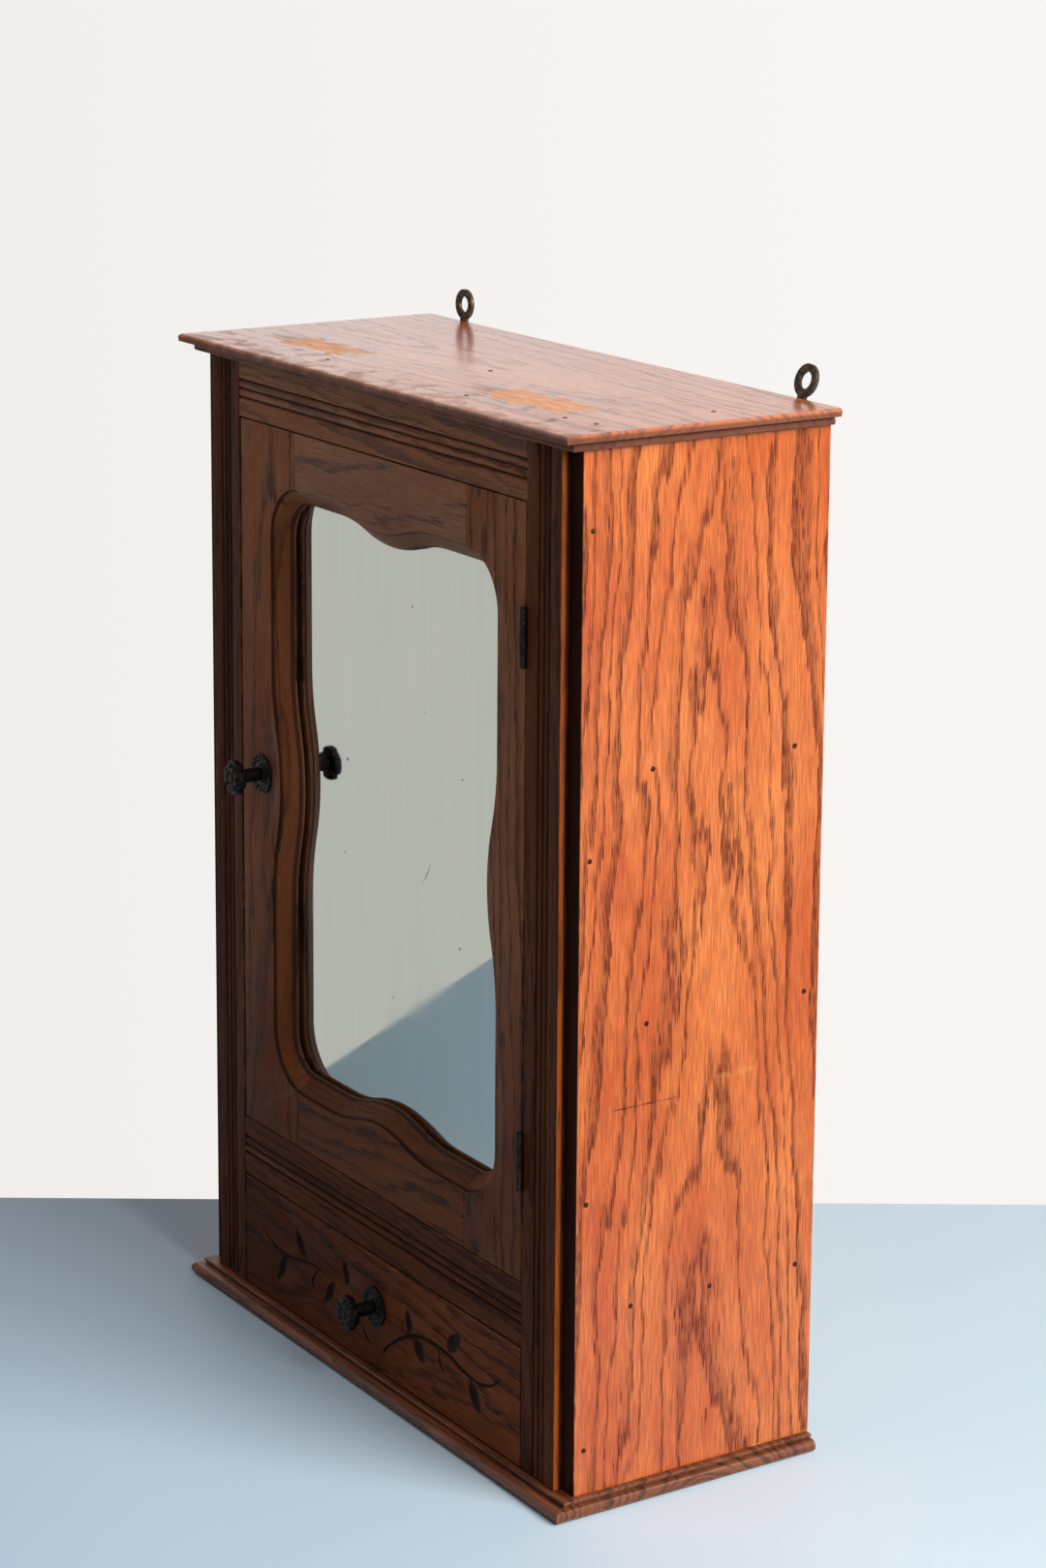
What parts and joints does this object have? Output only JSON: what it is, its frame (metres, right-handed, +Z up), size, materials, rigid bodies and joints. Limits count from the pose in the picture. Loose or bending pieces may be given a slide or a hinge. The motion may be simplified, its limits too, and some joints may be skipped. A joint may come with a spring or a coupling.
{
  "type": "mirrored wall cabinet",
  "caption": "Oak wall cabinet with reeded pilasters, a mirror door in a shaped moulded frame on butt hinges with a turn latch, a drawer below and ringed hanging plates.",
  "frame": {"origin": "centre of the underside of the base board", "axes": "+Z up, the front faces -Y, +X to the right of someone facing the front"},
  "size_m": [0.425, 0.1967, 0.6206],
  "materials": {
    "oak": "worn shellac",
    "deal": "bare and darkened",
    "mirror": "silvered glass",
    "dark_bronze": "blackened",
    "hinge_steel": "browned",
    "iron": "rust-browned"
  },
  "bodies": {
    "cabinet": {"top_board": "oak", "base_board": "oak", "left_side": "oak", "right_side": "oak", "left_pilaster": "oak", "right_pilaster": "oak", "top_rail": "oak", "middle_rail": "oak", "back_board_left": "deal", "back_board_middle": "deal", "back_board_right": "deal", "cupboard_floor": "deal", "lower_shelf": "deal", "upper_shelf": "deal", "drawer_guide_left": "deal", "drawer_guide_right": "deal", "drawer_kicker_left": "deal", "drawer_kicker_right": "deal", "door_stop": "deal", "hanging_plate_left": "iron", "hanging_plate_right": "iron", "upper_hinge_fixed_leaf": "hinge_steel", "lower_hinge_fixed_leaf": "hinge_steel", "upper_hinge_pin": "hinge_steel", "lower_hinge_pin": "hinge_steel"},
    "door": {"door_latch_stile": "oak", "door_hinge_stile": "oak", "door_top_rail": "oak", "door_bottom_rail": "oak", "mirror_glass": "mirror", "mirror_back_board": "deal", "upper_hinge_door_leaf": "hinge_steel", "lower_hinge_door_leaf": "hinge_steel", "door_rosette": "dark_bronze"},
    "door_knob_and_latch": {"door_knob": "dark_bronze", "latch_tongue": "iron", "spindle_nut": "iron"},
    "drawer": {"drawer_front": "oak", "drawer_side_left": "deal", "drawer_side_right": "deal", "drawer_back": "deal", "drawer_bottom": "deal", "drawer_rosette": "dark_bronze", "drawer_knob": "dark_bronze", "drawer_knob_nut": "iron"}
  },
  "joints": [
    {"name": "door_hinge", "type": "hinge", "parent": "cabinet", "child": "door", "pos_m": [0.157, -0.0791, 0.3384], "axis": [0, 0, 1], "range_deg": [0, 170]},
    {"name": "door_knob_turn", "type": "hinge", "parent": "door", "child": "door_knob_and_latch", "pos_m": [-0.1322, -0.0775, 0.3435], "axis": [0, 1, 0], "range_deg": [0, 90]},
    {"name": "drawer_slide", "type": "slide", "parent": "cabinet", "child": "drawer", "axis": [0, -1, 0], "range_m": [0, 0.11]}
  ]
}
